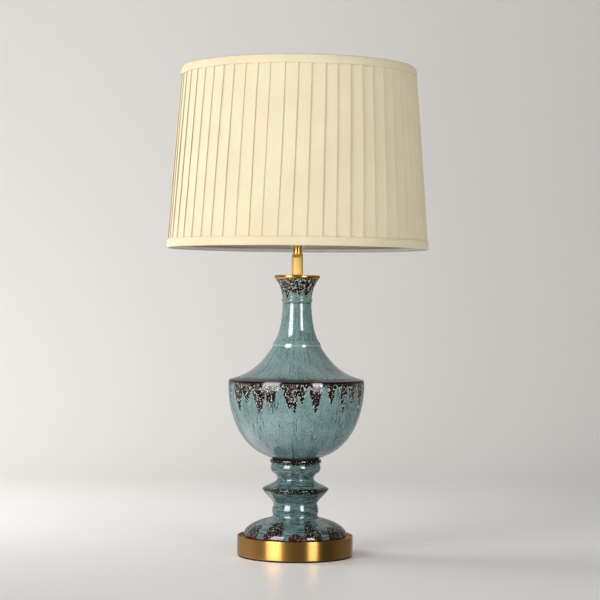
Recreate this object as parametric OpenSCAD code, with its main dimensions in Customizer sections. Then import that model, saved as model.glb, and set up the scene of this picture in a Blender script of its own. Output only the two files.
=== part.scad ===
// Table lamp: glazed ceramic urn on a brass base, with a pleated drum shade.
// Millimetres. +Z is up, the origin is the centre of the face that the lamp stands on,
// -Y is the front, and the cord goes in at the back, +Y.

/* [Base] */
// Outer radius of the brass base
base_r = 88; // [84:0.5:92]
// Height of the top of the base's rim above the table
base_top = 31; // [29:0.5:33]
// Thickness of the pad under the base
pad_h = 2.5; // [2:0.5:4]
// Wall thickness of the spun brass
brass_wall = 1.6; // [1.2:0.1:2]
// Depth of the deck below the rim
deck_drop = 4; // [3:0.5:5]

/* [Ceramic] */
// Wall thickness of the ceramic
ceramic_wall = 5; // [4:0.5:6]
// Radius of the pedestal's dome
dome_r = 78.5; // [76:0.5:80]
// Height of the top of the pedestal's collar
collar_top = 146.5; // [144:0.5:148]
// Radius of the urn at its shoulder
urn_r = 103.6; // [100:0.2:106]
// Height of the urn's shoulder edge
shoulder_z = 267; // [264:1:270]
// Height of the urn's mouth
mouth_z = 421.5; // [418:0.5:424]

/* [Stem] */
// Outer radius of the lower brass tube
lower_tube_r = 8.6; // [8:0.1:9]
// Height of the top of the lower brass tube
lower_tube_top = 459.7; // [455:0.1:462]
// Outer radius of the upper brass tube
upper_tube_r = 6.6; // [6.2:0.1:7]
// Height of the top of the upper brass tube, where the harp saddle sits
saddle_z = 488; // [484:1:490]

/* [Shade] */
// Height of the shade's bottom rim
shade_bottom = 467; // [465:1:470]
// Height of the shade's top rim
shade_top = 742; // [738:1:744]
// Outer radius of the shade's bottom rim
shade_bottom_r = 200; // [195:1:205]
// Outer radius of the shade's top rim
shade_top_r = 179.6; // [177:0.2:182]
// Height of the plain bands round both rims
trim_h = 13; // [10:1:16]
// How far the spider's hub sits below the top rim
hub_drop = 28; // [25:1:32]

/* [Hidden] */
$fn = 96;

// Colours
brass = [0.72, 0.53, 0.27];
teal = [0.46, 0.56, 0.56];
cream = [0.92, 0.87, 0.74];
iron = [0.18, 0.18, 0.19];
bakelite = [0.08, 0.08, 0.08];

// The base and its deck
deck_top = base_top - deck_drop;
deck_under = deck_top - brass_wall;
inlet_z = 10;
inlet_hole_r = 5.2;
inlet_bore_r = 3.2;
inlet_flange_r = 7;
weight_h = 10;
weight_r = 76;

// The threaded rod and the holes it passes through
rod_r = 4.9;
rod_bore_r = 3.2;
rod_hole_r = 5.2;
rod_bottom = 5;
washer_h = 1.2;
nut_h = 5;
nut_flats = 14.2;

// The urn
collar_r = 39;
gasket_h = 2.6;
gasket_r = 35.8;
bowl_bottom = collar_top + gasket_h;
equator_z = 260;
cap_h = 5.5;
cap_r = 34.8;
cap_top = mouth_z + cap_h;

// The harp
saddle_wall = 2;
saddle_reach = 27;
leg_r = 2.3;
joint_bead = 0.05;
leg_bottom = saddle_z + saddle_wall + 0.5;
harp_reach = 56;
stud_r = 3.17;
sleeve_r = 4.6;
sleeve_h = 17;
hub_z = shade_top - hub_drop;
plate_top = hub_z - 0.3;
plate_h = 2.5;
hub_h = 2;
stud_top = hub_z + 13;

// The socket
socket_z = saddle_z + saddle_wall;
socket_r = 17;
sheet_wall = 0.8;
shell_bottom = socket_z + 17;
shell_top = shell_bottom + 42;
housing_top = shell_bottom + 19;
key_z = shell_bottom + 9;
thread_r = 13.35;

// The bulb
cap_bottom = housing_top + 2.7;
bulb_cap_r = 12.95;
bulb_cap_top = cap_bottom + 25.5;
bulb_r = 30;
bulb_top = cap_bottom + 109;
glass_wall = 0.9;

// The shade
slope = (shade_bottom_r - shade_top_r) / (shade_top - shade_bottom);
trim_t = 1.7;
fabric_t = 2;
liner_t = 1;
wire_r = 2;
rim_gap = 1;

// --- Curves -------------------------------------------------------------------------

// n points of a Bezier curve from a to d, with b and c as its handles; a itself is left out
function bezier(a, b, c, d, n = 12) = [
    for (i = [1 : n])
        let (t = i / n, u = 1 - t)
        u * u * u * a + 3 * u * u * t * b + 3 * u * t * t * c + t * t * t * d
];

// n + 1 points of an ellipse with centre c and half-axes a and b, from one angle to another
function arc(c, a, b, from, to, n = 12) = [
    for (i = [0 : n])
        let (w = from + (to - from) * i / n)
        [c[0] + a * cos(w), c[1] + b * sin(w)]
];

// Radius of the shade's outer face at a height
function shade_r(z) = shade_bottom_r - slope * (z - shade_bottom);

// --- Small shared shapes ------------------------------------------------------------

// A ring or tube with square ends
module tube(outer, inner, bottom, top) {
    translate([0, 0, bottom])
        difference() {
            cylinder(r = outer, h = top - bottom);
            translate([0, 0, -1]) cylinder(r = inner, h = top - bottom + 2);
        }
}

// A cone-shaped wall that follows the shade's slope, from one depth under its face to another
module shade_wall(depth, thickness, bottom, top) {
    outer_bottom = shade_r(bottom) - depth;
    outer_top = shade_r(top) - depth;
    rotate_extrude()
        polygon([
            [outer_bottom - thickness, bottom],
            [outer_bottom, bottom],
            [outer_top, top],
            [outer_top - thickness, top]
        ]);
}

// A wire ring lying flat
module wire_ring(radius, z) {
    rotate_extrude() translate([radius, z]) circle(r = wire_r);
}

// --- Base ---------------------------------------------------------------------------

module base_pad() {
    edge = 0.5;
    pad_r = base_r - 1.3;
    color([0.1, 0.1, 0.1])
        rotate_extrude()
            polygon([
                [0, 0], [pad_r - edge, 0], [pad_r, edge],
                [pad_r, pad_h], [0, pad_h]
            ]);
}

module brass_base() {
    lip = brass_wall / 2;
    inner_r = base_r - brass_wall;
    outline = concat(
        [[rod_hole_r, deck_under], [inner_r, deck_under], [inner_r, pad_h]],
        arc([base_r - 0.8, pad_h + 0.8], 0.8, 0.8, -90, 0, 4),
        arc([base_r - lip, base_top - lip], lip, lip, 0, 180, 10),
        arc([inner_r - 1.5, deck_top + 1.5], 1.5, 1.5, 0, -90, 5),
        [[rod_hole_r, deck_top]]
    );
    color(brass)
        difference() {
            rotate_extrude() polygon(outline);
            translate([0, inner_r - 4, inlet_z])
                rotate([-90, 0, 0]) cylinder(r = inlet_hole_r, h = 10);
        }
}

module base_weight() {
    top = deck_under;
    bottom = top - weight_h;
    bevel = 2;
    recess_r = 14;
    color(iron)
        rotate_extrude()
            polygon([
                [recess_r, bottom], [weight_r - bevel, bottom], [weight_r, bottom + bevel],
                [weight_r, top], [recess_r, top]
            ]);
}

module cord_bushing() {
    wall_y = base_r;
    shank_r = inlet_hole_r - 0.05;
    color(bakelite)
        translate([0, wall_y, inlet_z])
            rotate([-90, 0, 0])
                rotate_extrude()
                    polygon([
                        [inlet_bore_r, -7], [shank_r, -7], [shank_r, 0],
                        [inlet_flange_r, 0], [inlet_flange_r, 1], [inlet_flange_r - 0.8, 1.8],
                        [inlet_bore_r, 1.8]
                    ]);
}

module lock_washer() {
    color([0.75, 0.75, 0.77])
        tube(11, rod_hole_r - 0.1, deck_under - washer_h, deck_under);
}

// A hexagonal nut of the rod's thread
module base_nut() {
    top = deck_under - washer_h;
    color([0.75, 0.75, 0.77])
        translate([0, 0, top - nut_h])
            difference() {
                cylinder(d = nut_flats / cos(30), h = nut_h, $fn = 6);
                translate([0, 0, -1]) cylinder(r = rod_r, h = nut_h + 2);
            }
}

module threaded_rod() {
    color([0.8, 0.8, 0.8])
        tube(rod_r, rod_bore_r, rod_bottom, socket_z + 9);
}

// --- Ceramic ------------------------------------------------------------------------

module pedestal_foot() {
    dome_z = deck_top + 4.5;
    dome_h = 29.8;
    stem_r = 34;
    ring_r = 35.2;
    flange_r = 50.4;
    waist_r = 27.8;
    collar_edge = 0.5;
    outside = concat(
        [[dome_r - 2.8, deck_top]],
        arc([dome_r - 3, dome_z], 3, 4, -60, 0, 5),
        arc([0, dome_z], dome_r, dome_h, 4, 62, 22),
        bezier([36.8, 57.8], [34.9, 59], [stem_r, 60.6], [stem_r, 63.2], 5),
        bezier([stem_r, 63.2], [34.2, 64.6], [ring_r - 0.1, 65.2], [ring_r, 69.5], 5),
        bezier([ring_r, 69.5], [ring_r, 73.5], [33.6, 76], [33.2, 79.5], 8),
        bezier([33.2, 79.5], [35, 85], [43, 90.6], [flange_r, 100.8], 12),
        arc([flange_r - 1.1, 101.9], 1.1, 1.1, -20, 90, 5),
        bezier([flange_r - 1.1, 103], [43, 108.6], [waist_r, 111], [waist_r, 118], 14),
        bezier([waist_r, 118], [waist_r, 122.8], [33.6, 125.4], [36.4, 128], 10),
        arc([34.9, 134.2], 3.1, 7, -60, 52, 10),
        bezier([36.8, 139.7], [37.3, 140.9], [38.4, 141.3], [collar_r, 142.8], 5),
        [[collar_r, collar_top - collar_edge], [collar_r - collar_edge, collar_top]]
    );
    inside = concat(
        [[rod_hole_r, collar_top], [rod_hole_r, 60]],
        arc([0, dome_z], dome_r - ceramic_wall, dome_h - ceramic_wall, 80, 6, 14),
        [[dome_r - ceramic_wall - 3, deck_top]]
    );
    color(teal) rotate_extrude() polygon(concat(outside, inside));
}

module body_gasket() {
    color([0.1, 0.07, 0.05])
        tube(gasket_r, rod_hole_r + 0.3, collar_top, bowl_bottom);
}

module urn_body() {
    rim_r = 102.4;
    ring_z = 318;
    groove_z = 384.8;
    wall = ceramic_wall;
    outside = concat(
        [[36.6, bowl_bottom]],
        bezier([37.2, bowl_bottom], [86, 163.7], [urn_r, 214.6], [urn_r, equator_z], 36),
        bezier(
            [urn_r, equator_z], [urn_r, equator_z + 3], [urn_r - 0.3, equator_z + 6],
            [rim_r, shoulder_z + 1], 6
        ),
        bezier([rim_r, shoulder_z + 1], [81.1, 273.6], [59.5, 281.5], [36.9, ring_z], 24),
        bezier([36.9, ring_z], [36.8, 320.5], [36.4, 323], [35, 325], 5),
        bezier([35, 325], [26.5, 334], [22, 363], [22, groove_z], 20),
        arc([21.6, groove_z + 4], 2.4, 3.2, -75, 75, 8),
        [[22.5, groove_z + 7.6]],
        bezier([22.5, groove_z + 7.6], [22.6, 403], [27.5, 414.7], [32.6, mouth_z - 1], 14),
        [[32, mouth_z]]
    );
    inside = concat(
        [[27, mouth_z]],
        bezier([27, mouth_z - 1], [20, 410], [17, 395], [17, groove_z], 10),
        bezier([17, groove_z], [17, 363], [22, 330], [32, 314], 12),
        bezier([32, 314], [52, 279], [78, 268], [urn_r - wall - 4, 265], 14),
        bezier(
            [urn_r - wall, equator_z], [urn_r - wall, 216], [84, 169],
            [36, bowl_bottom + wall], 20
        ),
        [[rod_hole_r, bowl_bottom + wall], [rod_hole_r, bowl_bottom]]
    );
    color(teal) rotate_extrude() polygon(concat(outside, inside));
}

// --- Brass stem ---------------------------------------------------------------------

module neck_cap() {
    spigot_r = 24;
    spigot_drop = 4;
    color(brass)
        rotate_extrude()
            polygon(concat(
                [
                    [rod_hole_r, mouth_z - spigot_drop], [spigot_r, mouth_z - spigot_drop],
                    [spigot_r, mouth_z], [33.2, mouth_z]
                ],
                bezier(
                    [33.2, mouth_z], [33.8, mouth_z + 1.5], [34.2, mouth_z + 3],
                    [cap_r, cap_top - 0.8], 4
                ),
                [[cap_r - 0.4, cap_top], [rod_hole_r, cap_top]]
            ));
}

module lower_tube() {
    lip = 0.7;
    top_wall = 2;
    inner_r = lower_tube_r - 1.2;
    color(brass)
        rotate_extrude()
            polygon(concat(
                [
                    [inner_r, cap_top], [lower_tube_r - lip, cap_top],
                    [lower_tube_r, cap_top + lip], [lower_tube_r, lower_tube_top - 2.4],
                    [lower_tube_r - 0.4, lower_tube_top - 2.1]
                ],
                arc([lower_tube_r - 0.8, lower_tube_top - 1], 0.8, 1, -40, 90, 6),
                [
                    [rod_hole_r, lower_tube_top], [rod_hole_r, lower_tube_top - top_wall],
                    [inner_r, lower_tube_top - top_wall]
                ]
            ));
}

module upper_tube() {
    color(brass)
        tube(upper_tube_r, rod_hole_r, lower_tube_top, saddle_z);
}

// --- Harp ---------------------------------------------------------------------------

// A flat strip with an upright arm inside each of the harp's legs
module harp_saddle() {
    width = 11;
    arm_top = saddle_z + 15;
    arm_x = saddle_reach - leg_r - 0.3;
    foot_x = saddle_reach + leg_r + 0.5;
    color(brass)
        difference() {
            union() {
                translate([-foot_x, -width / 2, saddle_z])
                    cube([2 * foot_x, width, saddle_wall]);
                for (side = [0, 1])
                    mirror([side, 0, 0])
                        translate([arm_x - saddle_wall, -width / 2, saddle_z])
                            cube([saddle_wall, width, arm_top - saddle_z]);
            }
            translate([0, 0, saddle_z - 1]) cylinder(r = rod_hole_r - 0.1, h = saddle_wall + 2);
        }
}

// Bends a wire in the XZ plane round a centre, from one angle to another
module wire_bend(centre, radius, from, to) {
    translate([centre[0], 0, centre[1]])
        rotate([90, 0, 0])
            rotate([0, 0, from])
                rotate_extrude(angle = to - from)
                    translate([radius, 0]) circle(r = leg_r);
}

// One side of the harp: leg, two bends out round the bulb, upright, and the bend to the top.
// A bead hardly wider than the wire closes each joint between two stretches.
module harp_side() {
    small_r = harp_reach - saddle_reach;
    turn = 60;
    rise = 2 * small_r * sin(turn);
    bend_z = shell_top + 2;
    crown_r = 40;
    crown_z = plate_top - plate_h / 2 - crown_r;
    translate([saddle_reach, 0, leg_bottom]) cylinder(r = leg_r, h = bend_z - leg_bottom);
    wire_bend([saddle_reach + small_r, bend_z], small_r, 180, 180 - turn);
    wire_bend([harp_reach - small_r, bend_z + rise], small_r, -turn, 0);
    translate([harp_reach, 0, bend_z + rise])
        cylinder(r = leg_r, h = crown_z - bend_z - rise);
    wire_bend([harp_reach - crown_r, crown_z], crown_r, 0, 90);
    translate([0, 0, crown_z + crown_r])
        rotate([0, 90, 0]) cylinder(r = leg_r, h = harp_reach - crown_r);
    joints = [
        [saddle_reach, bend_z], [(saddle_reach + harp_reach) / 2, bend_z + rise / 2],
        [harp_reach, bend_z + rise], [harp_reach, crown_z],
        [harp_reach - crown_r, crown_z + crown_r]
    ];
    for (joint = joints)
        translate([joint[0], 0, joint[1]]) sphere(r = leg_r + joint_bead);
}

module harp() {
    plate_r = 10;
    color([0.78, 0.76, 0.7])
        difference() {
            union() {
                harp_side();
                mirror([1, 0, 0]) harp_side();
                translate([0, 0, plate_top - plate_h]) cylinder(r = plate_r, h = plate_h);
            }
            translate([0, 0, plate_top]) cylinder(r = plate_r + 20, h = 5);
            translate([0, 0, plate_top - plate_h - 3]) cylinder(r = stud_r, h = plate_h + 6);
        }
}

module harp_stud() {
    head_r = 5;
    head_h = 1.5;
    head_bottom = plate_top - plate_h / 2 - leg_r - head_h;
    color([0.78, 0.76, 0.7])
        union() {
            translate([0, 0, head_bottom]) cylinder(r = stud_r, h = stud_top - head_bottom);
            translate([0, 0, head_bottom]) cylinder(r = head_r, h = head_h);
        }
}

// A short sleeve on a leg of the harp, which drops over the saddle's upright end
module harp_sleeve(side) {
    color(brass)
        translate([side * saddle_reach, 0, 0])
            tube(sleeve_r, leg_r + 0.07, saddle_z + 15.4, saddle_z + 15.4 + sleeve_h);
}

module harp_sleeve_left() {
    harp_sleeve(-1);
}

module harp_sleeve_right() {
    harp_sleeve(1);
}

// --- Socket -------------------------------------------------------------------------

module socket_cap() {
    hub_r = 7.5;
    hub_top = socket_z + 8;
    lip_r = socket_r + sheet_wall + 0.1;
    color(brass)
        rotate_extrude()
            polygon(concat(
                [[rod_r, socket_z], [hub_r, socket_z]],
                bezier(
                    [hub_r, socket_z], [13, socket_z + 1], [lip_r, socket_z + 6],
                    [lip_r, shell_bottom - 3], 8
                ),
                [[lip_r, shell_bottom + 3], [lip_r - sheet_wall, shell_bottom + 3]],
                bezier(
                    [lip_r - sheet_wall, shell_bottom - 3],
                    [lip_r - sheet_wall, socket_z + 6.6], [12.6, socket_z + 2.2],
                    [hub_r - 1, socket_z + 1.6], 8
                ),
                [[hub_r - 1, hub_top], [rod_r, hub_top]]
            ));
}

module key_slot(r) {
    translate([0, -socket_r - 3, key_z]) rotate([-90, 0, 0]) cylinder(r = r, h = 8);
}

module socket_shell() {
    color(brass)
        difference() {
            tube(socket_r, socket_r - sheet_wall, shell_bottom, shell_top);
            key_slot(3);
        }
}

module socket_insulator() {
    color([0.75, 0.68, 0.55])
        difference() {
            tube(socket_r - sheet_wall - 0.1, socket_r - 2, shell_bottom + 0.5, shell_top - 1);
            key_slot(3);
        }
}

module switch_housing() {
    housing_r = socket_r - 2.2;
    color(bakelite)
        difference() {
            translate([0, 0, shell_bottom]) cylinder(r = housing_r, h = housing_top - shell_bottom);
            translate([0, -socket_r - 1, key_z])
                rotate([-90, 0, 0]) cylinder(r = 1.6, h = 14);
            for (side = [-1, 1])
                translate([side * (housing_r - 2), 0, shell_bottom + 4])
                    rotate([0, side * 90, 0]) cylinder(r = 3.4, h = 5);
        }
}

module terminal_screws() {
    housing_r = socket_r - 2.2;
    color(brass)
        for (side = [-1, 1])
            translate([side * (housing_r - 2), 0, shell_bottom + 4])
                rotate([0, side * 90, 0])
                    difference() {
                        cylinder(r = 3, h = 1.8);
                        translate([-4, -0.4, 1.1]) cube([8, 0.8, 2]);
                    }
}

module screw_shell() {
    color([0.8, 0.8, 0.78])
        rotate_extrude()
            polygon([
                [6, housing_top], [thread_r + 0.7, housing_top],
                [thread_r + 0.7, shell_top - 2], [thread_r, shell_top - 2],
                [thread_r, housing_top + 0.8], [6, housing_top + 0.8]
            ]);
}

module centre_contact() {
    color(brass)
        union() {
            translate([0, 0, housing_top]) cylinder(r = 2.5, h = 1);
            translate([0, 0, housing_top + 1]) cylinder(r = 1.6, h = 1.4);
        }
}

// A shaft with a ribbed barrel-shaped grip, which turns the switch
module switch_key() {
    shaft_r = 1.5;
    grip_r = 4.5;
    grip_h = 14;
    ribs = 12;
    out = socket_r + 6;
    color(bakelite)
        translate([0, 0, key_z])
            rotate([90, 0, 0])
                difference() {
                    union() {
                        translate([0, 0, 8]) cylinder(r = shaft_r, h = out - 7);
                        translate([0, 0, out]) cylinder(r = grip_r, h = grip_h);
                    }
                    for (i = [0 : ribs - 1])
                        rotate([0, 0, i * 360 / ribs])
                            translate([grip_r + 0.3, 0, out - 1])
                                cylinder(r = 0.8, h = grip_h + 2);
                }
}

// --- Bulb ---------------------------------------------------------------------------

function bulb_outline(inset) = concat(
    [[0, bulb_top - inset]],
    arc([0, bulb_top - bulb_r], bulb_r - inset, bulb_r - inset, 88, -28, 22),
    bezier(
        [(bulb_r - inset) * cos(30), bulb_top - bulb_r - (bulb_r - inset) * sin(30)],
        [20 - inset, bulb_top - 58], [14.5 - inset, bulb_top - 66],
        [14 - inset, bulb_cap_top + 2], 10
    ),
    [[13.6 - inset, bulb_cap_top], [0, bulb_cap_top]]
);

module bulb_glass() {
    color([0.95, 0.95, 0.93])
        rotate_extrude()
            difference() {
                polygon(bulb_outline(0));
                polygon(bulb_outline(glass_wall));
            }
}

// The screw cap of the bulb, with its thread as rounded rings
module bulb_cap() {
    wall = 0.6;
    pitch = 3.62;
    thread_bottom = cap_bottom + 5;
    crest = 0.5;
    outside = [
        for (i = [0 : 20])
            [
                bulb_cap_r - crest + crest * cos(i * 360 * 15 / pitch / 20),
                thread_bottom + i * 15 / 20
            ]
    ];
    color([0.8, 0.8, 0.8])
        rotate_extrude()
            polygon(concat(
                [[9, cap_bottom + 4]],
                outside,
                [
                    [bulb_cap_r, thread_bottom + 15.5], [bulb_cap_r, bulb_cap_top],
                    [bulb_cap_r - 1 - wall, bulb_cap_top],
                    [bulb_cap_r - 1 - wall, thread_bottom + 0.8], [9, thread_bottom + 0.8]
                ]
            ));
}

module bulb_insulator() {
    color(bakelite)
        rotate_extrude()
            polygon([
                [4.8, cap_bottom + 1], [6.5, cap_bottom + 1], [9, cap_bottom + 4],
                [9, cap_bottom + 5.5], [4.8, cap_bottom + 5.5]
            ]);
}

module bulb_contact() {
    color([0.75, 0.75, 0.72])
        union() {
            translate([0, 0, cap_bottom]) cylinder(r1 = 3, r2 = 4.5, h = 1.5);
            translate([0, 0, cap_bottom + 1.5]) cylinder(r = 4.5, h = 2.5);
        }
}

// Glass stem with two upright leads and the filament between them
module bulb_mount() {
    stem_top = bulb_cap_top + 28;
    lead_h = 22;
    lead_x = 9;
    color([0.85, 0.85, 0.82])
        union() {
            translate([0, 0, bulb_cap_top]) cylinder(r1 = 12.4, r2 = 2.6, h = 28);
            for (side = [-1, 1])
                translate([side * 1.4, 0, stem_top - 1])
                    rotate([0, side * 19, 0]) cylinder(r = 0.5, h = lead_h);
            translate([-lead_x, 0, stem_top - 1 + lead_h * cos(19)])
                rotate([0, 90, 0]) cylinder(r = 0.8, h = 2 * lead_x);
        }
}

// --- Shade --------------------------------------------------------------------------

ring_depth = trim_t + fabric_t + liner_t + wire_r;
top_ring_z = shade_top - rim_gap - wire_r - 1;
top_ring_r = shade_r(top_ring_z) - ring_depth - 0.2;

// A washer on the harp's stud with three arms, each cranked up to the top ring; the arms
// are flat underneath as far out as they pass over the harp's crown
module shade_spider() {
    washer_r = 13;
    arm_r = 2;
    bend_r = 8;
    arm_z = hub_z + hub_h / 2;
    upright_r = top_ring_r - wire_r;
    root_r = 8;
    hole_r = stud_r + 0.07;
    flat_r = 32;
    seat_r = 12;
    color([0.85, 0.84, 0.8])
        difference() {
            union() {
                translate([0, 0, hub_z]) cylinder(r = washer_r, h = hub_h);
                for (angle = [90, 210, 330])
                    rotate([0, 0, angle]) {
                        translate([root_r, 0, arm_z])
                            rotate([0, 90, 0])
                                cylinder(r = arm_r, h = upright_r - bend_r - root_r);
                        translate([upright_r - bend_r, 0, arm_z + bend_r])
                            rotate([90, 0, 0])
                                rotate([0, 0, -90])
                                    rotate_extrude(angle = 90)
                                        translate([bend_r, 0]) circle(r = arm_r);
                        translate([upright_r, 0, arm_z + bend_r])
                            cylinder(r = arm_r, h = top_ring_z - arm_z - bend_r);
                    }
            }
            translate([0, 0, hub_z - 5]) cylinder(r = hole_r, h = hub_h + 10);
            translate([0, 0, hub_z - 5]) cylinder(r = flat_r, h = 5);
            translate([0, 0, hub_z + hub_h]) cylinder(r = seat_r, h = 5);
        }
}

module shade_top_ring() {
    color([0.85, 0.84, 0.8]) wire_ring(top_ring_r, top_ring_z);
}

module shade_bottom_ring() {
    z = shade_bottom + rim_gap + wire_r + 1;
    color([0.85, 0.84, 0.8]) wire_ring(shade_r(z) - ring_depth - 0.2, z);
}

module shade_liner() {
    color([0.9, 0.9, 0.88])
        shade_wall(trim_t + fabric_t, liner_t, shade_bottom + rim_gap, shade_top - rim_gap);
}

// The pleated cloth as a plain shell as thick as the pleats
module shade_fabric() {
    color(cream)
        shade_wall(trim_t, fabric_t, shade_bottom + rim_gap, shade_top - rim_gap);
}

// A band folded over a rim; lift is the height of its open edge, rim that of the fold
module folded_band(lift, rim) {
    inside = fabric_t + liner_t + trim_t;
    step = rim > lift ? -1 : 1;
    fold = rim + step * rim_gap;
    color(cream)
        rotate_extrude()
            polygon([
                [shade_r(lift), lift], [shade_r(rim), rim],
                [shade_r(rim) - inside - 0.1, rim],
                [shade_r(rim + step * trim_h) - inside - 0.1, rim + step * trim_h],
                [shade_r(rim + step * trim_h) - inside, rim + step * trim_h],
                [shade_r(fold) - inside, fold],
                [shade_r(fold) - trim_t, fold],
                [shade_r(lift) - trim_t, lift]
            ]);
}

module shade_top_trim() {
    folded_band(shade_top - trim_h, shade_top);
}

module shade_bottom_trim() {
    folded_band(shade_bottom + trim_h, shade_bottom);
}

// --- Finial -------------------------------------------------------------------------

bush_z = hub_z + hub_h + 0.3;
bush_h = 6;

module finial_bush() {
    color(brass)
        tube(6.5, stud_r + 0.07, bush_z, bush_z + bush_h);
}

module finial_knob() {
    bottom = bush_z + bush_h;
    ball_r = 6.2;
    ball_z = bottom + 2.4 + ball_r;
    color(brass)
        difference() {
            rotate_extrude()
                polygon(concat(
                    [[0, bottom], [6.5, bottom], [6.5, bottom + 1.2], [3.8, bottom + 2.6]],
                    arc([0, ball_z], ball_r, ball_r, -55, 90, 14)
                ));
            translate([0, 0, bottom - 1])
                cylinder(r = stud_r + 0.3, h = stud_top - bottom + 1.8);
        }
}

base_pad();
brass_base();
base_weight();
cord_bushing();
lock_washer();
base_nut();
threaded_rod();
pedestal_foot();
body_gasket();
urn_body();
neck_cap();
lower_tube();
upper_tube();
harp_saddle();
harp();
harp_stud();
harp_sleeve_left();
harp_sleeve_right();
socket_cap();
socket_shell();
socket_insulator();
switch_housing();
screw_shell();
centre_contact();
terminal_screws();
switch_key();
bulb_glass();
bulb_cap();
bulb_insulator();
bulb_contact();
bulb_mount();
shade_spider();
shade_top_ring();
shade_bottom_ring();
shade_liner();
shade_fabric();
shade_top_trim();
shade_bottom_trim();
finial_bush();
finial_knob();
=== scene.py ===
"""A table lamp: glazed ceramic urn on a brass base, under a knife-pleated drum shade.

Metres, in the frame of the CAD model: +Z up, the lamp stands on z = 0 and its axis is x = y = 0.
The front is -Y. An angle round the axis is 0 at the front and grows towards +X.
"""
import math
import random

import bpy
import numpy as np
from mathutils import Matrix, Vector


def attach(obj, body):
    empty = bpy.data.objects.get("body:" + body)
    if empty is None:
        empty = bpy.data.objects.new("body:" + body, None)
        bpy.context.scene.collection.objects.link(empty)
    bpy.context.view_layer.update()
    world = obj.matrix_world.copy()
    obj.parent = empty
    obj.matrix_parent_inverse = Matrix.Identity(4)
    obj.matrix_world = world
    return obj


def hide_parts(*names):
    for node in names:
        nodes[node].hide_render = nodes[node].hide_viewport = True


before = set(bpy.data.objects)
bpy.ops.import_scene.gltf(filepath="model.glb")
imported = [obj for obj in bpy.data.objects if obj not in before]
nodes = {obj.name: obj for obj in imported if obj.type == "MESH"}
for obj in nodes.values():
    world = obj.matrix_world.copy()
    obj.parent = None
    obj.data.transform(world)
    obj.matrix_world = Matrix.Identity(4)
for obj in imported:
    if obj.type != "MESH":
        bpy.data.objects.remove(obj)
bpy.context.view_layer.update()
MM = 0.001


# --- Camera, floor and light ----------------------------------------------------------

def make_camera():
    """A long lens just above the middle of the lamp, level and rolled half a degree."""
    data = bpy.data.cameras.new("camera")
    data.sensor_width = 36
    data.lens = 111.4
    camera = bpy.data.objects.new("camera", data)
    camera.location = (0.0044, -2.832, 0.3894)
    camera.rotation_euler = (math.radians(90), math.radians(-0.5), 0)
    bpy.context.scene.collection.objects.link(camera)
    bpy.context.scene.camera = camera


def make_floor():
    """One pale sheet: the floor, a wide curve, and the wall behind."""
    half_width, front, back, bend, height = 4.5, -3.4, 3.4, 2.2, 5.0
    outline = [(front, 0.0)]
    for i in range(25):
        turn = math.radians(90 * i / 24)
        outline.append((back - bend + bend * math.sin(turn), bend - bend * math.cos(turn)))
    outline.append((back, height))
    points = [(x, y, z) for y, z in outline for x in (-half_width, half_width)]
    faces = [(i, i + 1, i + 3, i + 2) for i in range(0, len(points) - 2, 2)]
    floor = new_object("studio_floor", points, faces)
    floor.data.materials.append(floor_paint())
    floor.visible_glossy = False


def area_light(name, place, target, size, power, colour=(1, 1, 1)):
    """A soft box at a place, turned to a target point."""
    data = bpy.data.lights.new(name, "AREA")
    data.shape = "RECTANGLE"
    data.size, data.size_y = size
    data.energy = power
    data.color = colour
    light = bpy.data.objects.new(name, data)
    light.location = place
    aim = Vector(target) - Vector(place)
    light.rotation_euler = aim.to_track_quat("-Z", "Y").to_euler()
    bpy.context.scene.collection.objects.link(light)
    return light


def beside(azimuth, distance, height):
    """A place at an angle round the lamp from the front."""
    turn = math.radians(azimuth)
    return (distance * math.sin(turn), -distance * math.cos(turn), height)


def smooth_range(tree, value, low, high, out_low, out_high):
    """Rises or falls smoothly from out_low at low to out_high at high."""
    node = tree.nodes.new("ShaderNodeMapRange")
    node.interpolation_type = "SMOOTHSTEP"
    for socket, number in zip(list(node.inputs)[1:5], (low, high, out_low, out_high)):
        socket.default_value = number
    tree.links.new(value, node.inputs["Value"])
    return node.outputs[0]


def reflected_room(tree, split, room):
    """What glazes and metal reflect: dim in front and on the right, bright low on the left."""
    low = smooth_range(tree, split.outputs["Z"], -0.6, -0.25, 0.7, 0.0)
    left = smooth_range(tree, split.outputs["X"], -0.5, 0.05, 1.0, 0.0)
    patch = tree.nodes.new("ShaderNodeMath")
    patch.operation = "MULTIPLY_ADD"
    tree.links.new(low, patch.inputs[0])
    tree.links.new(left, patch.inputs[1])
    tree.links.new(room, patch.inputs[2])
    return patch.outputs[0]


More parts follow.
